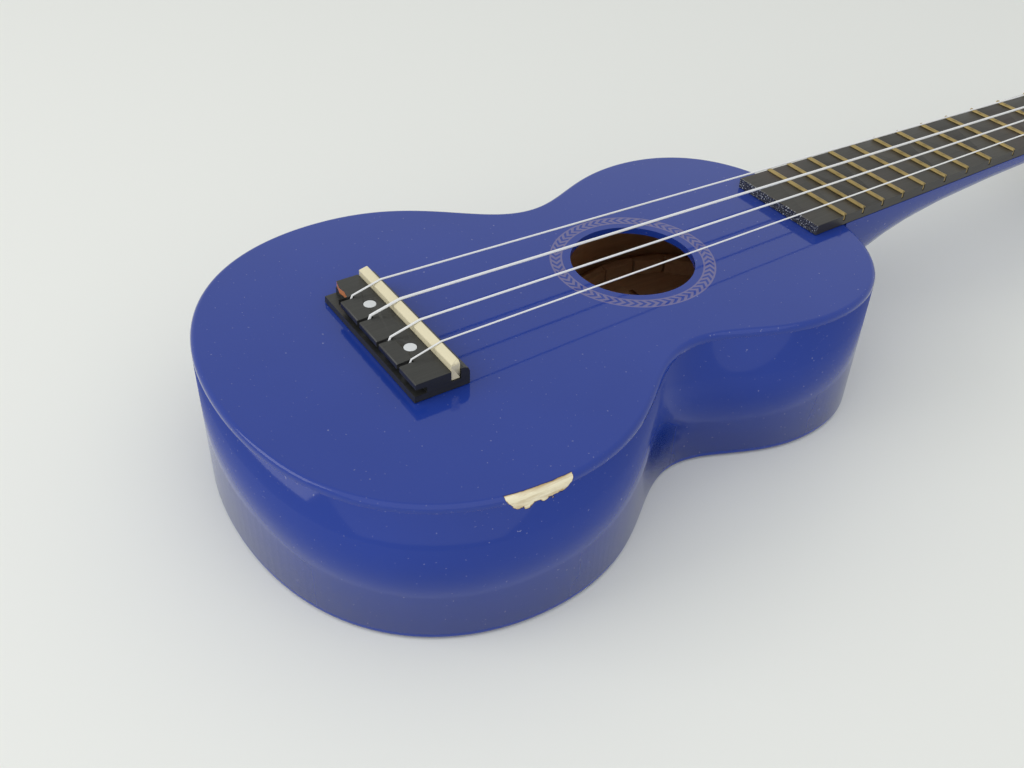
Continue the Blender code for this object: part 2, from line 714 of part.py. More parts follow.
def tuner_plate(name, frame):
    """A punched plate with two bent ears that carry the worm's shaft."""
    low, high = -GAP - TUNER_PLATE, -GAP
    screw_ends = (0.0080, -0.0126)
    outline = [*arc(screw_ends[0], 0, 0.0031, -60, 60, 5), (0.0050, 0.0055), (-0.0102, 0.0055),
               *arc(screw_ends[1], 0, 0.0027, 120, 240, 5), (-0.0102, -0.0055), (0.0050, -0.0055)]
    holes = [circle(x, 0, 0.0011, 8) for x in screw_ends] + [circle(0, 0, POST_RADIUS + 0.0002, 20)]
    obj = flat_solid("plate_" + name, [outline, *holes], low, high, frame)
    centre = (-CENTRES, -WORM_BELOW)
    ear = [(-CENTRES - 0.0026, low + 0.0004), *arc(*centre, 0.0026, 180, 360, 8), (-CENTRES + 0.0026, low + 0.0004)]
    bore = circle(*centre, SHAFT_RADIUS + 0.00016, 16)
    for side in (1, -1):
        inner, outer = EAR_FACE, 0.0055
        upright = frame @ Matrix(((1, 0, 0, 0), (0, 0, -1, 0), (0, 1, 0, 0), (0, 0, 0, 1)))
        span = sorted((-side * inner, -side * outer))
        combine(obj, [flat_solid("ear", [ear[::-1], bore], *span, upright)], "UNION")
    keep(baked(obj), STEEL)


def tuner_bushing(name, frame):
    inner = POST_RADIUS + 0.0002
    face = HEAD_THICK + GAP
    profile = [(inner, face + 0.0010), (0.0046, face + 0.0012), (0.0056, face + 0.0006), (0.0056, face),
               (0.0042, face), (0.0042, face - 0.0050), (inner, face - 0.0050), (inner, face + 0.0010)]
    keep(shade(turned("bushing_" + name, profile, 18, frame)), STEEL)


def gear_mesh():
    """Teeth leaned by the worm's lead angle, the space between two of them facing the worm."""
    lean = GEAR_THICK * WORM_PITCH / (2 * math.pi * WORM_PITCH_RADIUS) / GEAR_PITCH_RADIUS
    loop = []
    for tooth in range(TEETH):
        middle = math.pi + (tooth + 0.5) * 2 * math.pi / TEETH
        for offset, radius in ((-0.170, GEAR_ROOT), (-0.052, GEAR_OUTER), (0.052, GEAR_OUTER), (0.170, GEAR_ROOT)):
            loop.append((middle + offset, radius))
    bm = bmesh.new()
    rows = []
    for part in (0, 1):
        height = -WORM_BELOW + (part - 0.5) * GEAR_THICK
        turn = (part - 0.5) * lean
        rows.append([bm.verts.new((r * math.cos(a + turn), r * math.sin(a + turn), height)) for a, r in loop])
    for i in range(len(loop)):
        j = (i + 1) % len(loop)
        bm.faces.new((rows[0][i], rows[0][j], rows[1][j], rows[1][i]))
    bm.faces.new(rows[0][::-1])
    bm.faces.new(rows[1])
    return mesh_object("gear", bm)


def tuner_post(name, frame, empty):
    top = HEAD_THICK + POST_OVER_FACE
    gear_low = -WORM_BELOW - GEAR_THICK / 2
    profile = [(0, top), (0.0022, top), (POST_RADIUS, top - 0.0008), (POST_RADIUS, gear_low + 0.0004),
               (0.0022, gear_low - 0.0004), (0.0018, gear_low - 0.0010), (0, gear_low - 0.0010)]
    obj = turned("post_" + name, profile, 14)
    hole_height = HEAD_THICK + STRING_HOLE_OVER_FACE
    sideways = Matrix.Translation((0, 0, hole_height)) @ Matrix.Rotation(math.pi / 2, 4, "Y")
    combine(obj, [gear_mesh()], "UNION")
    combine(obj, [rod("string_hole", (0, 0), 0.0008, -0.005, 0.005, 10, sideways)])
    solid = keep(shade(baked(obj)), STEEL)
    solid.parent = empty
    return solid




def thread_mesh():
    """The ridge's four edges follow the helix; both ends are closed flat."""
    steps = 14
    turns = 3.0
    half_root, half_crest = 0.00078, 0.00025
    inside = WORM_ROOT - 0.0003
    bm = bmesh.new()
    rows = []
    count = round(steps * turns)
    for i in range(count + 1):
        angle = 2 * math.pi * (i / steps - turns / 2)
        along = WORM_PITCH * (i / steps - turns / 2)
        fade = min(1.0, (i + 1) / 4, (count - i + 1) / 4)
        crest = WORM_ROOT + (WORM_OUTER - WORM_ROOT) * fade
        ring = []
        for radius, offset in ((inside, -half_root), (crest, -half_crest), (crest, half_crest), (inside, half_root)):
            ring.append(bm.verts.new((radius * math.cos(angle), along + offset, -radius * math.sin(angle))))
        rows.append(ring)
    for first, second in zip(rows, rows[1:]):
        for k in range(4):
            m = (k + 1) % 4
            bm.faces.new((first[k], first[m], second[m], second[k]))
    bm.faces.new(rows[0][::-1])
    bm.faces.new(rows[-1])
    bmesh.ops.recalc_face_normals(bm, faces=bm.faces)
    return mesh_object("thread", bm)


def tuner_worm(name, side, empty):
    """Shaft, worm and retaining head in one; the shaft ends inside the button."""
    core = EAR_FACE - 0.0003
    profile = [(0, 0.0225), (0.0010, 0.0225), (SHAFT_RADIUS, 0.0222), (SHAFT_RADIUS, core), (WORM_ROOT, core),
               (WORM_ROOT, -core), (SHAFT_RADIUS, -core), (SHAFT_RADIUS, -0.0058), (0.0019, -0.0058),
               (0.0019, -0.0066), (0, -0.0066)]
    to_side = Matrix.Rotation(-side * math.pi / 2, 4, "X")
    obj = turned("worm_" + name, profile, 14, to_side)
    combine(obj, [thread_mesh()], "UNION")
    solid = keep(shade(baked(obj)), STEEL)
    solid.parent = empty
    return solid


def tuner_button(name, side, empty):
    """A flat oval thumb button with a round neck, bored for the shaft."""
    half_width, far, near = 0.0070, 0.0275, 0.0158
    outline = [*arc(0.0035, far - 0.0040, 0.0040, 90, 0, 4)[::-1], *arc(-0.0035, far - 0.0040, 0.0040, 180, 90, 4)[::-1],
               (-half_width, near + 0.0045), (-0.0042, near), (0.0042, near), (half_width, near + 0.0045)]
    widened = [(x * half_width / 0.0075, y) for x, y in outline[:10]] + outline[10:]
    flat = Matrix(((1, 0, 0, 0), (0, side, 0, 0), (0, 0, 1, 0), (0, 0, 0, 1)))
    loop = [(flat @ Vector((x, y, 0)))[:2] for x, y in widened][::side]
    obj = flat_solid("button_" + name, [loop], -0.0024, 0.0024)
    bevel = obj.modifiers.new("Soft edge", "BEVEL")
    bevel.width = 0.0012
    bevel.segments = 2
    bevel.limit_method = "ANGLE"
    bevel.angle_limit = math.radians(60)
    to_side = Matrix.Rotation(-side * math.pi / 2, 4, "X")
    combine(obj, [rod("button_neck", (0, 0), 0.0023, 0.0132, 0.0180, 14, to_side)], "UNION")
    combine(obj, [rod("button_bore", (0, 0), 0.00155, 0.0120, 0.0230, 14, to_side)])
    solid = keep(shade(baked(obj)), IVORY)
    solid.parent = empty
    return solid


def tuner(name):
    """Plate and bushing are fixed; post and worm each turn about their own empty's axis."""
    side = 1 if STRING_RANK[name] > 0 else -1
    frame = tuner_frame(name)
    post_axis = bpy.data.objects.new("post_axis_" + name, None)
    post_axis.matrix_world = frame
    PARTS.objects.link(post_axis)
    worm_axis = bpy.data.objects.new("worm_axis_" + name, None)
    worm_axis.matrix_world = frame @ Matrix.Translation((-CENTRES, 0, -WORM_BELOW))
    PARTS.objects.link(worm_axis)
    tuner_plate(name, frame)
    tuner_bushing(name, frame)
    tuner_post(name, frame, post_axis)
    tuner_worm(name, side, worm_axis)
    tuner_button(name, side, worm_axis)


soundboard()
back_plate()
ribs()
blocks()
linings()
braces()
bridge()
bridge_screws()
saddle()
neck()
fretboard()
frets()
nut()
strings()
for string_name in STRING_DIAMETER:
    tuner(string_name)
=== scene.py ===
import json
import math

import bmesh
import bpy
from mathutils import Matrix, Vector
from mathutils.geometry import interpolate_bezier


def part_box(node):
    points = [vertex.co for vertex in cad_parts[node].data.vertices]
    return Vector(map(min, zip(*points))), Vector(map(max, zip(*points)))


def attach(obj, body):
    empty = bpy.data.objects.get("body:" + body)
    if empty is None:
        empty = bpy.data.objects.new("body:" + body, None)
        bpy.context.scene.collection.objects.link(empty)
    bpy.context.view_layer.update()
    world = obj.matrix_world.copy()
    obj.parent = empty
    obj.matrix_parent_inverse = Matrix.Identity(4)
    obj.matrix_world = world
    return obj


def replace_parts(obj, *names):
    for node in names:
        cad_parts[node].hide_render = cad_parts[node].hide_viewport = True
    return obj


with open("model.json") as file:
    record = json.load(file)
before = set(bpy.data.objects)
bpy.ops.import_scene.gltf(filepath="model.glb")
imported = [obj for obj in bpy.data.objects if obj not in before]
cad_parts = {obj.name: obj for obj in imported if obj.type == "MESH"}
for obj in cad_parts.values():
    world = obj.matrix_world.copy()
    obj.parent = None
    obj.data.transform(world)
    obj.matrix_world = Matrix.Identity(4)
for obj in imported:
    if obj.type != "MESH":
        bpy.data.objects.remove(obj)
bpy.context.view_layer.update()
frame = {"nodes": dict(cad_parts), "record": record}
SLOTS = {entry["node"]: entry["material_slot"] for entry in frame["record"]["subparts"]}

# Sound box, in metres
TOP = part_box("soundboard")[1][2]
PLATE = 0.0025
RIB = 0.0022
EDGE_RADIUS = 0.0018
EDGE_STEPS = 6
MERGE = 0.000002
HOLE = Vector((0.0898, 0.0))
HOLE_RADIUS = 0.0223
HOLE_STEPS = 96

# Outline: the widest and narrowest points, and how far the curve keeps its direction there
TAIL_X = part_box("soundboard")[0][0]
NECK_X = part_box("soundboard")[1][0]
LOWER = (0.0031, 0.0804)
WAIST = (0.0786, 0.0490)
UPPER = (0.1281, 0.0619)
TAIL_REACH = 0.0560
LOWER_REACH = (0.0365, 0.0428)
WAIST_REACH = (0.0229, 0.0147)
UPPER_REACH = (0.0230, 0.0265)
NECK_REACH = 0.0449
SPAN_STEPS = 36

# Herringbone ring round the soundhole
RING = (0.0252, 0.0297)
RING_BORDER = 0.0006
RING_TICKS = 60
RING_LEAN = 420.0
RING_GAP = 0.48
RING_STRENGTH = 0.45

# Chip in the lacquer; the outline's half curvature there is per metre
CHIP_X = -0.0035
CHIP_HALF_LENGTH = 0.0108
CHIP_DEPTH = 0.0050
CHIP_INWARD = 0.0014
CHIP_RAGGED = 0.0060
LOWER_HALF_CURVATURE = 6.1

# Split corner of the bridge, heights above the soundboard
SPLIT_OUTLINE = [(-0.0165, 0.0206), (-0.0122, 0.0206), (-0.0117, 0.0240), (-0.0121, 0.0268),
                 (-0.0109, 0.0315), (-0.0165, 0.0315)]
SPLIT_FLOOR = 0.0048
SPLIT_HEIGHT = 0.0040
RAW_WOOD_X = -0.0104
RAW_WOOD_Y = 0.0206
RAW_WOOD_HEIGHTS = (0.0049, 0.0069)

BOARD_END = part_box("fretboard")[0][0]
BOARD_END_DEPTH = 0.0004

# Headstock and tuning machines
HEAD_TILT = math.radians(10)
HEAD_ORIGIN = Vector((0.3526, 0, TOP))
HEAD_THICK = 0.0105
POST_SIDE = {"G": 1, "C": 1, "E": -1, "A": -1}
POST_ALONG = {"G": 0.034, "C": 0.070, "E": 0.070, "A": 0.034}
POST_Y = 0.0135
SCREWS_ALONG = (0.0080, -0.0126)
SCREW_RADIUS = 0.0018
SCREW_SEAT = -0.0015
STRING_END_RADIUS = 0.00035
STRING_END_LENGTH = 0.0100
STRING_END_OFFSET = -0.0014
STRING_END_HEIGHT = 0.0078

# Camera, fitted to the photograph
CAMERA_AT = Vector((-0.1350, -0.2574, TOP + 0.21276))
CAMERA_FORWARD = Vector((0.4386, 0.6458, -0.6250)).normalized()
CAMERA_RIGHT = Vector((0.8399, -0.5419, 0.0295)).normalized()
LENS = 39.17
SENSOR = 36

# Room
FLOOR_DROP = 0.0002
FLOOR_COLOUR = (0.85, 0.85, 0.785)
BACKGROUND = (0.735, 0.745, 0.695)
SKY = (0.92, 0.95, 1.0)
SKY_STRENGTH = 0.68

# Colours
BLUES = ((0.013, 0.039, 0.255), (0.017, 0.046, 0.290))
DEEP_BLUE = (0.010, 0.014, 0.10)
RING_COLOUR = (0.30, 0.24, 0.30)
DUST = (0.5, 0.5, 0.6)
CHIPPED_WOOD = ((0.50, 0.37, 0.19), (0.88, 0.80, 0.58))
CHIP_RIM = (0.42, 0.27, 0.10)
INSIDE_WOOD = ((0.48, 0.27, 0.13), (0.74, 0.47, 0.26))
RAW_ORANGE = (0.55, 0.20, 0.07)
BOARD_WOOD = ((0.016, 0.015, 0.014), (0.040, 0.036, 0.032))
BOARD_WEAR = (0.055, 0.040, 0.036)
BRIDGE_WOOD = ((0.012, 0.012, 0.012), (0.030, 0.030, 0.027))
BRIDGE_WEAR = (0.060, 0.045, 0.032)
# Painted highlights: dark end colour and bright specks that stand in for reflections on the fretboard's sawn
# end
END_PAINTED_GLINTS = ((0.004, 0.004, 0.004), (0.60, 0.62, 0.66))


class Bench:
    """A node tree, with short calls for the steps that the finishes share."""

    def __init__(self, tree):
        self.tree = tree

    def add(self, kind):
        return self.tree.nodes.new(kind)

    def feed(self, socket, value):
        """Give a socket a number, a colour or another node's output."""
        if isinstance(value, tuple):
            socket.default_value = (*value, 1)
        elif isinstance(value, (int, float)):
            socket.default_value = value
        elif value is not None:
            self.tree.links.new(value, socket)

    def sum(self, operation, *values):
        node = self.add("ShaderNodeMath")
        node.operation = operation
        for socket, value in zip(node.inputs, values):
            self.feed(socket, value)
        return node.outputs[0]

    def times(self, first, second):
        return self.sum("MULTIPLY", first, second)

    def plus(self, first, second):
        return self.sum("ADD", first, second)

    def minus(self, first, second):
        return self.sum("SUBTRACT", first, second)

    def scaled(self, value, factor, offset):
        return self.sum("MULTIPLY_ADD", value, factor, offset)

    def size(self, value):
        return self.sum("ABSOLUTE", value)

    def over(self, value, limit):
        return self.sum("GREATER_THAN", value, limit)

    def under(self, value, limit):
        return self.sum("LESS_THAN", value, limit)

    def most(self, first, second):
        return self.sum("MAXIMUM", first, second)

    def ramp(self, value, low, high):
        node = self.add("ShaderNodeMapRange")
        node.inputs["From Min"].default_value = low
        node.inputs["From Max"].default_value = high
        self.feed(node.inputs["Value"], value)
        return node.outputs["Result"]

    def blend(self, factor, first, second):
        node = self.add("ShaderNodeMix")
        node.data_type = "RGBA"
        for index, value in ((0, factor), (6, first), (7, second)):
            self.feed(node.inputs[index], value)
        return node.outputs[2]

    def place(self):
        return self.add("ShaderNodeTexCoord").outputs["Object"]

    def xyz(self):
        split = self.add("ShaderNodeSeparateXYZ")
        self.feed(split.inputs[0], self.place())
        return split.outputs

    def noise(self, scale, detail=3.0, stretch=(1, 1, 1)):
        mapping = self.add("ShaderNodeMapping")
        mapping.inputs["Scale"].default_value = stretch
        self.feed(mapping.inputs["Vector"], self.place())
        node = self.add("ShaderNodeTexNoise")
        node.inputs["Scale"].default_value = scale
        node.inputs["Detail"].default_value = detail
        self.feed(node.inputs["Vector"], mapping.outputs["Vector"])
        return node.outputs["Fac"]

    def relief(self, height, strength, distance):
        node = self.add("ShaderNodeBump")
        node.inputs["Strength"].default_value = strength
        node.inputs["Distance"].default_value = distance
        self.feed(node.inputs["Height"], height)
        return node.outputs["Normal"]


def surface_group():
    """Fine speckle, broad mottling and long grain, used by every finish."""
    group = bpy.data.node_groups.new("surface_detail", "ShaderNodeTree")
    for name in ("Speckle", "Mottle", "Grain"):
        group.interface.new_socket(name, in_out="OUTPUT", socket_type="NodeSocketFloat")
    bench = Bench(group)
    out = bench.add("NodeGroupOutput")
    bench.feed(out.inputs["Speckle"], bench.ramp(bench.noise(900, 1.0), 0.74, 0.80))
    bench.feed(out.inputs["Mottle"], bench.noise(28, 4.0))
    bench.feed(out.inputs["Grain"], bench.noise(60, 6.0, (1, 14, 14)))
    return group


DETAIL = surface_group()


def new_finish(name):
    """A material, its bench, its shader and the shared speckle, mottling and grain."""
    material = bpy.data.materials.new(name)
    material.use_nodes = True
    bench = Bench(material.node_tree)
    detail = bench.add("ShaderNodeGroup")
    detail.node_tree = DETAIL
    return material, bench, material.node_tree.nodes["Principled BSDF"], detail.outputs


def chip_margin(bench):
    """How far a point lies inside the chip: even along the top, ragged down the side."""
    x, y, z = bench.xyz()
    from_widest = bench.minus(x, LOWER[0])
    curve = bench.times(bench.times(from_widest, from_widest), LOWER_HALF_CURVATURE)
    inward = bench.minus(bench.plus(y, LOWER[1]), curve)
    ragged = bench.scaled(bench.noise(330), CHIP_RAGGED, -CHIP_RAGGED / 2)
    along = bench.size(bench.sum("DIVIDE", bench.minus(x, CHIP_X), CHIP_HALF_LENGTH))
    depth = bench.scaled(bench.sum("POWER", along, 6.0), -CHIP_DEPTH, CHIP_DEPTH)
    lower = bench.plus(bench.minus(depth, bench.minus(TOP, z)), ragged)
    upper = bench.plus(bench.minus(CHIP_INWARD, inward), bench.times(ragged, 0.12))
    return bench.sum("MINIMUM", upper, lower)


def ring_mask(bench):
    """Slanted ticks that change direction at mid width, between two thin lines."""
    x, y, _ = bench.xyz()
    from_hole = bench.minus(x, HOLE.x)
    radius = bench.sum("SQRT", bench.plus(bench.times(from_hole, from_hole), bench.times(y, y)))
    off_middle = bench.size(bench.minus(radius, sum(RING) / 2))
    half_width = (RING[1] - RING[0]) / 2
    angle = bench.sum("ARCTAN2", y, from_hole)
    count = bench.scaled(angle, RING_TICKS / (2 * math.pi), bench.times(off_middle, RING_LEAN))
    ticks = bench.over(bench.sum("FRACT", count), RING_GAP)
    within = bench.under(off_middle, half_width - RING_BORDER)
    lines = bench.minus(bench.under(off_middle, half_width), within)
    return bench.times(bench.most(bench.times(ticks, within), lines), RING_STRENGTH)


def facing_inside(bench):
    """The face of a plate that is turned to the sound box."""
    _, _, z = bench.xyz()
    return bench.times(bench.over(z, PLATE - 2 * MERGE), bench.under(z, TOP - PLATE + 2 * MERGE))


def blue_lacquer(name, coat, ring=False, plate=False):
    """Glossy blue with dust in it, and bare wood in the chip and inside the box."""
    material, bench, shader, detail = new_finish(name)
    colour = bench.blend(detail["Mottle"], *BLUES)
    if ring:
        colour = bench.blend(ring_mask(bench), colour, RING_COLOUR)
    colour = bench.blend(bench.times(detail["Speckle"], 0.35), colour, DUST)
    margin = chip_margin(bench)
    bare = bench.ramp(margin, 0.0, 0.00012)
    colour = bench.blend(bench.ramp(margin, -0.00035, 0.0), colour, DEEP_BLUE)
    fibre = bench.noise(520, 4.0, (0.12, 1, 1))
    wood = bench.blend(bench.ramp(fibre, 0.36, 0.60), *CHIPPED_WOOD)
    wood = bench.blend(bench.ramp(margin, 0.0005, 0.0), wood, CHIP_RIM)
    colour = bench.blend(bare, colour, wood)
    if plate:
        inside = facing_inside(bench)
        colour = bench.blend(inside, colour, bench.blend(detail["Grain"], *INSIDE_WOOD))
        bare = bench.most(bare, inside)
    gloss = bench.scaled(detail["Mottle"], 0.06, 0.10)
    height = bench.scaled(bare, -0.6, bench.times(bench.noise(34, 2.0), 0.05))
    height = bench.scaled(bench.times(fibre, bare), 0.8, height)
    bench.feed(shader.inputs["Base Color"], colour)
    bench.feed(shader.inputs["Roughness"], bench.scaled(bare, 0.55, gloss))
    bench.feed(shader.inputs["Coat Weight"], bench.scaled(bare, -coat, coat))
    bench.feed(shader.inputs["Normal"], bench.relief(height, 0.5, 0.0006))
    shader.inputs["Specular IOR Level"].default_value = 0.1
    shader.inputs["Coat Roughness"].default_value = 0.06
    return material


def grained_wood(name, colours, roughness, worn=None):
    """Wood with its grain along the neck, rubbed to another colour in places."""
    material, bench, shader, detail = new_finish(name)
    colour = bench.blend(detail["Grain"], *colours)
    if worn:
        colour = bench.blend(bench.ramp(detail["Mottle"], 0.55, 0.78), colour, worn)
    bench.feed(shader.inputs["Base Color"], colour)
    bench.feed(shader.inputs["Roughness"], bench.scaled(detail["Mottle"], 0.25, roughness - 0.12))
    bench.feed(shader.inputs["Normal"], bench.relief(detail["Grain"], 0.25, 0.0003))
    return material


def smooth_finish(name, dark, light, roughness, metallic=0.0, coat=0.0):
    """Metal, plastic or pearl, cloudy in colour and gloss."""
    material, bench, shader, detail = new_finish(name)
    bench.feed(shader.inputs["Base Color"], bench.blend(detail["Mottle"], dark, light))
    bench.feed(shader.inputs["Roughness"], bench.scaled(detail["Mottle"], 0.2, roughness - 0.08))
    bench.feed(shader.inputs["Normal"], bench.relief(detail["Grain"], 0.12, 0.0001))
    shader.inputs["Metallic"].default_value = metallic
    shader.inputs["Coat Weight"].default_value = coat
    return material


def colour_where(material, bench, mask, colour):
    """Lay a colour over what already feeds the material's shader."""
    socket = material.node_tree.nodes["Principled BSDF"].inputs["Base Color"]
    bench.feed(socket, bench.blend(mask, socket.links[0].from_socket, colour))


def fretboard_wood():
    """Dark wood, whose sawn end is thickly lacquered over torn grain, with painted highlights as bright
    specks in its colour.
    """
    material = grained_wood("fretboard_wood", BOARD_WOOD, 0.42, BOARD_WEAR)
    bench = Bench(material.node_tree)
    shader = material.node_tree.nodes["Principled BSDF"]
    at_end = bench.under(bench.xyz()[0], BOARD_END + BOARD_END_DEPTH)
    # Bright specks of painted highlight on the sawn end, laid into the colour in place of reflections
    painted_glints = bench.ramp(bench.noise(1500, 1.0), 0.60, 0.70)
    colour_where(material, bench, at_end, bench.blend(painted_glints, *END_PAINTED_GLINTS))
    torn = bench.times(bench.noise(1300, 2.0), at_end)
    bench.feed(shader.inputs["Coat Weight"], at_end)
    bench.feed(shader.inputs["Coat Normal"], bench.relief(torn, 1.0, 0.0012))
    shader.inputs["Coat Roughness"].default_value = 0.05
    return material


def bridge_wood():
    """Black paint, with raw orange wood where the bass back corner has split off."""
    material = grained_wood("black_bridge", BRIDGE_WOOD, 0.38, BRIDGE_WEAR)
    bench = Bench(material.node_tree)
    x, y, z = bench.xyz()
    low, high = (TOP + height for height in RAW_WOOD_HEIGHTS)
    corner = bench.times(bench.under(x, RAW_WOOD_X), bench.over(y, RAW_WOOD_Y))
    band = bench.times(bench.over(z, low), bench.under(z, high))
    colour_where(material, bench, bench.times(corner, band), RAW_ORANGE)
    return material


BLUE = blue_lacquer("blue_lacquer", 0.35)
BLUE_TOP = blue_lacquer("blue_lacquer_top", 0.6, ring=True, plate=True)
BLUE_BACK = blue_lacquer("blue_lacquer_back", 0.6, plate=True)
BARE = grained_wood("bare_wood", INSIDE_WOOD, 0.7)
BOARD = fretboard_wood()
BRIDGE = bridge_wood()
IVORY = smooth_finish("ivory_plastic", (0.68, 0.60, 0.38), (0.80, 0.73, 0.52), 0.36)
NYLON = smooth_finish("white_nylon", (0.78, 0.78, 0.76), (0.88, 0.88, 0.87), 0.3)
BRASS = smooth_finish("fret_brass", (0.34, 0.25, 0.10), (0.52, 0.40, 0.19), 0.38, metallic=1.0)
STEEL = smooth_finish("plated_steel", (0.60, 0.60, 0.58), (0.80, 0.80, 0.78), 0.22, metallic=1.0)
PEARL = smooth_finish("pearl", (0.50, 0.52, 0.52), (0.82, 0.83, 0.82), 0.3, coat=0.6)
BY_SLOT = {"blue_lacquer": BLUE, "bare_wood": BARE, "black_wood": BOARD, "ivory_plastic": IVORY,
           "nylon": NYLON, "fret_brass": BRASS, "plated_steel": STEEL, "pearl": PEARL}


def in_scene(obj):
    bpy.context.scene.collection.objects.link(obj)
    return obj


def mesh_from(name, bm):
    mesh = bpy.data.meshes.new(name)
    bm.to_mesh(mesh)
    bm.free()
    return in_scene(bpy.data.objects.new(name, mesh))


def finished(name, bm, material, body="root", angle=30):
    """A shaded piece that moves with its body."""
    bmesh.ops.recalc_face_normals(bm, faces=bm.faces)
    obj = mesh_from(name, bm)
    obj.data.materials.append(material)
    obj.data.shade_smooth()
    obj.data.set_sharp_from_angle(angle=math.radians(angle))
    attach(obj, body)
    return obj


def weighted(obj):
    """Keep flat faces flat next to rounded edges."""
    modifier = obj.modifiers.new("Even gloss", "WEIGHTED_NORMAL")
    modifier.keep_sharp = True
    modifier.weight = 100
    return obj


def merged_copy(node):
    bm = bmesh.new()
    bm.from_mesh(node.data)
    bmesh.ops.remove_doubles(bm, verts=bm.verts, dist=MERGE)
    return bm


def verts_of(geometry):
    return [item for item in geometry if isinstance(item, bmesh.types.BMVert)]


def lift(bm, geometry, height):
    bmesh.ops.translate(bm, vec=(0, 0, height), verts=verts_of(geometry))


def edge_loop(bm, points, height):
    verts = [bm.verts.new((x, y, height)) for x, y in points]
    return [bm.edges.new(pair) for pair in zip(verts, verts[1:] + verts[:1])]


def outline():
    """The whole body outline, tail first, bass side then treble side."""
    spans = [((TAIL_X, 0), (TAIL_X, TAIL_REACH), (LOWER[0] - LOWER_REACH[0], LOWER[1]), LOWER),
             (LOWER, (LOWER[0] + LOWER_REACH[1], LOWER[1]), (WAIST[0] - WAIST_REACH[0], WAIST[1]), WAIST),
             (WAIST, (WAIST[0] + WAIST_REACH[1], WAIST[1]), (UPPER[0] - UPPER_REACH[0], UPPER[1]), UPPER),
             (UPPER, (UPPER[0] + UPPER_REACH[1], UPPER[1]), (NECK_X, NECK_REACH), (NECK_X, 0))]
    bass = []
    for knots in spans:
        points = interpolate_bezier(*[Vector(knot) for knot in knots], SPAN_STEPS + 1)
        bass.extend(points if not bass else points[1:])
    return bass + [Vector((point.x, -point.y)) for point in reversed(bass[1:-1])]


def soundhole():
    turns = [2 * math.pi * step / HOLE_STEPS for step in range(HOLE_STEPS)]
    return [HOLE + HOLE_RADIUS * Vector((math.cos(turn), math.sin(turn))) for turn in turns]


def is_outer_edge(edge, height):
    """An edge of the outline at this height, and not one of the soundhole."""
    level = all(abs(vert.co.z - height) < 1e-5 for vert in edge.verts)
    beside_wall = any(abs(face.normal.z) < 0.5 for face in edge.link_faces)
    off_hole = (edge.verts[0].co.xy - HOLE).length > 1.2 * HOLE_RADIUS
    return level and beside_wall and off_hole


def plate_skin(name, low, high, rounded_at, material, openings=()):
    """A filled outline given its thickness, with one outer edge rounded over."""
    bm = bmesh.new()
    loops = edge_loop(bm, outline(), low)
    for opening in openings:
        loops += edge_loop(bm, opening, low)
    bmesh.ops.triangle_fill(bm, edges=loops, use_beauty=True)
    bmesh.ops.dissolve_limit(bm, angle_limit=0.001, verts=bm.verts, edges=bm.edges)
    grown = bmesh.ops.extrude_face_region(bm, geom=list(bm.faces))["geom"]
    lift(bm, grown, high - low)
    bm.normal_update()
    edges = [edge for edge in bm.edges if is_outer_edge(edge, rounded_at)]
    bmesh.ops.bevel(bm, geom=edges, offset=EDGE_RADIUS, affect="EDGES", segments=EDGE_STEPS,
                    profile=0.5, material=-1)
    piece = weighted(finished(name, bm, material))
    return piece


def lacquered_sides():
    """Both bent ribs as one wall, lacquered outside and bare inside."""
    bm = bmesh.new()
    lower = edge_loop(bm, outline(), PLATE)
    lift(bm, bmesh.ops.extrude_edge_only(bm, edges=lower)["geom"], TOP - 2 * PLATE)
    sides = finished("lacquered_sides", bm, BLUE)
    sides.data.materials.append(BARE)
    wall = sides.modifiers.new("Wall", "SOLIDIFY")
    wall.thickness = RIB
    wall.offset = -1
    wall.material_offset = 1
    return sides


def sound_box():
    top = plate_skin("lacquered_top", TOP - PLATE, TOP, TOP, BLUE_TOP, [soundhole()])
    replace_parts(top, "soundboard")
    back = plate_skin("lacquered_back", 0, PLATE, 0, BLUE_BACK)
    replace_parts(back, "back_plate")
    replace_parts(lacquered_sides(), "bass_rib", "treble_rib")


def corner_cutter():
    bm = bmesh.new()
    edge_loop(bm, SPLIT_OUTLINE, TOP + SPLIT_FLOOR)
    face = bmesh.ops.contextual_create(bm, geom=bm.edges[:])["faces"]
    lift(bm, bmesh.ops.extrude_face_region(bm, geom=face)["geom"], SPLIT_HEIGHT)
    bmesh.ops.recalc_face_normals(bm, faces=bm.faces)
    return mesh_from("corner_cutter", bm)


def broken_bridge():
    """The bridge with its bass back corner split away."""
    sharp = 20
    bridge = finished("bridge_with_split_corner", merged_copy(frame["nodes"]["bridge"]), BRIDGE, angle=sharp)
    cutter = corner_cutter()
    split = bridge.modifiers.new("Split", "BOOLEAN")
    split.object = cutter
    bpy.context.view_layer.update()
    shape = bpy.data.meshes.new_from_object(bridge.evaluated_get(bpy.context.evaluated_depsgraph_get()))
    bridge.modifiers.clear()
    bridge.data = shape
    shape.set_sharp_from_angle(angle=math.radians(sharp))
    weighted(bridge)
    bpy.data.objects.remove(cutter)
    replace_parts(bridge, "bridge")


def body_of(node):
    if node.startswith("post_"):
        return "post_body_" + node[-1]
    if node.startswith(("worm_", "button_")):
        return "worm_body_" + node[-1]
    return "root"


def dress_frame():
    for name, obj in frame["nodes"].items():
        obj.data.materials.clear()
        obj.data.materials.append(BY_SLOT[SLOTS[name]])


def smooth_copies():
    """Pieces whose shape is right already, their facets merged and shaded smooth."""
    remade = ("soundboard", "back_plate", "bass_rib", "treble_rib", "bridge")
    for name, node in frame["nodes"].items():
        if name in remade:
            continue
        piece = finished(name + "_smooth", merged_copy(node), BY_SLOT[SLOTS[name]], body_of(name), 35)
        weighted(piece)
        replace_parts(piece, name)


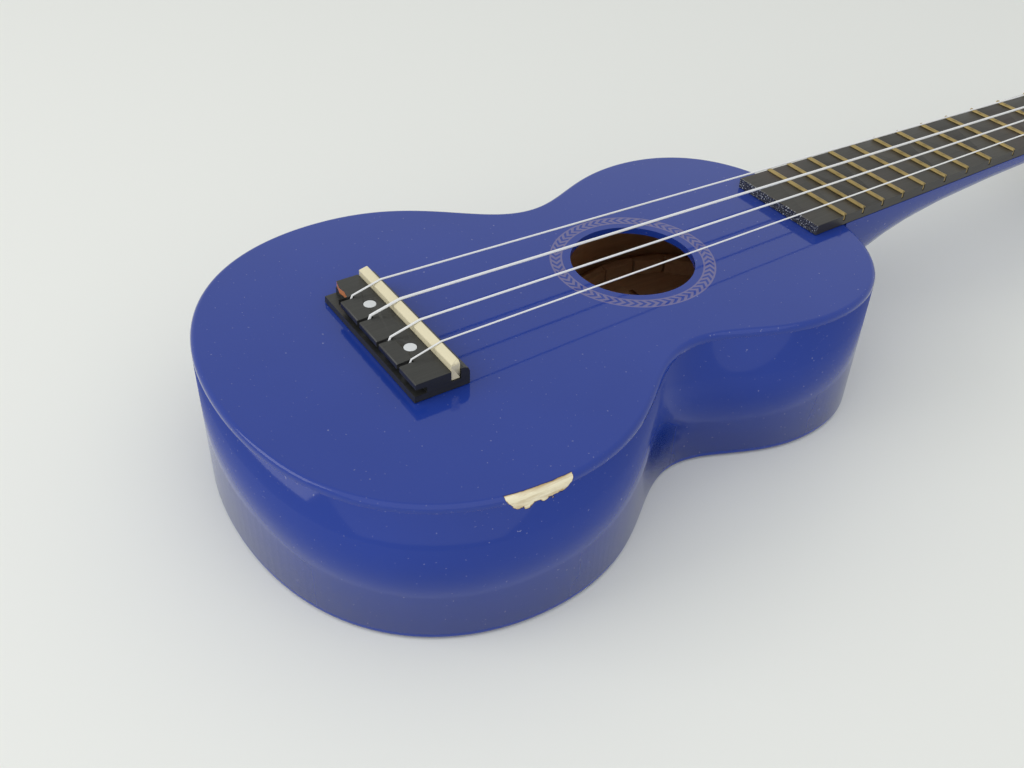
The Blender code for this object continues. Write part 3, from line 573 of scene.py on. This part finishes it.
def machine_frame(name):
    """Along the headstock, across it and out of its front, from a post's foot."""
    tilt = Matrix.Rotation(HEAD_TILT, 4, "Y")
    seat = Matrix.Translation((POST_ALONG[name], POST_SIDE[name] * POST_Y, -HEAD_THICK))
    return Matrix.Translation(HEAD_ORIGIN) @ tilt @ seat


def plate_screws(name):
    """Two round screw heads that hold a machine's plate."""
    bm = bmesh.new()
    for along in SCREWS_ALONG:
        head = bmesh.ops.create_uvsphere(bm, u_segments=20, v_segments=10, radius=SCREW_RADIUS)["verts"]
        bmesh.ops.scale(bm, vec=(1, 1, 0.5), verts=head)
        bmesh.ops.translate(bm, vec=(along, 0, SCREW_SEAT), verts=head)
    bmesh.ops.transform(bm, matrix=machine_frame(name), verts=bm.verts)
    finished("plate_screws_" + name, bm, STEEL)


def string_end(name):
    """The cut end of a string, through its post."""
    bm = bmesh.new()
    lying = Matrix.Translation((STRING_END_OFFSET, 0, HEAD_THICK + STRING_END_HEIGHT))
    lying = lying @ Matrix.Rotation(math.pi / 2, 4, "Y")
    bmesh.ops.create_cone(bm, cap_ends=True, segments=12, radius1=STRING_END_RADIUS,
                          radius2=STRING_END_RADIUS, depth=STRING_END_LENGTH, matrix=lying)
    bmesh.ops.transform(bm, matrix=machine_frame(name), verts=bm.verts)
    finished("string_end_" + name, bm, NYLON, "post_body_" + name)


def tuner_trim():
    for name in POST_SIDE:
        plate_screws(name)
        string_end(name)


def floor():
    bm = bmesh.new()
    bmesh.ops.create_grid(bm, x_segments=1, y_segments=1, size=4.0)
    obj = mesh_from("pale_floor", bm)
    obj.location.z = -FLOOR_DROP
    material = bpy.data.materials.new("pale_floor")
    material.use_nodes = True
    shader = material.node_tree.nodes["Principled BSDF"]
    shader.inputs["Base Color"].default_value = (*FLOOR_COLOUR, 1)
    shader.inputs["Roughness"].default_value = 0.7
    obj.data.materials.append(material)


def sky():
    """A soft even light, with the pale wall shown to the camera and in reflections."""
    world = bpy.data.worlds.new("soft_room")
    bpy.context.scene.world = world
    world.use_nodes = True
    bench = Bench(world.node_tree)
    light = world.node_tree.nodes["Background"]
    light.inputs["Color"].default_value = (*SKY, 1)
    light.inputs["Strength"].default_value = SKY_STRENGTH
    wall = bench.add("ShaderNodeBackground")
    wall.inputs["Color"].default_value = (*BACKGROUND, 1)
    ray = bench.add("ShaderNodeLightPath").outputs
    mirrored = bench.most(ray["Is Glossy Ray"], ray["Is Transmission Ray"])
    mixer = bench.add("ShaderNodeMixShader")
    bench.feed(mixer.inputs[0], bench.most(ray["Is Camera Ray"], mirrored))
    bench.feed(mixer.inputs[1], light.outputs[0])
    bench.feed(mixer.inputs[2], wall.outputs[0])
    bench.feed(world.node_tree.nodes["World Output"].inputs["Surface"], mixer.outputs[0])


def area_light(name, place, target, size, power):
    data = bpy.data.lights.new(name, "AREA")
    data.shape = "RECTANGLE"
    data.size, data.size_y = size
    data.energy = power
    obj = in_scene(bpy.data.objects.new(name, data))
    obj.location = place
    obj.rotation_euler = (Vector(target) - Vector(place)).to_track_quat("-Z", "Y").to_euler()


def camera():
    data = bpy.data.cameras.new("camera")
    data.lens = LENS
    data.sensor_width = SENSOR
    data.clip_start = 0.01
    obj = in_scene(bpy.data.objects.new("camera", data))
    back = -CAMERA_FORWARD
    turn = Matrix((CAMERA_RIGHT, back.cross(CAMERA_RIGHT), back)).transposed()
    obj.matrix_world = Matrix.Translation(CAMERA_AT) @ turn.to_4x4()
    bpy.context.scene.camera = obj


camera()
dress_frame()
smooth_copies()
sound_box()
broken_bridge()
tuner_trim()
floor()
sky()
area_light("window", (-1.2, 0.5, 0.9), (0.05, 0, 0.03), (1.0, 0.8), 6)
area_light("front", (-0.45, -0.75, 1.05), (0.1, 0.02, 0), (2.4, 2.4), 9)
bpy.context.scene.view_settings.view_transform = "Standard"
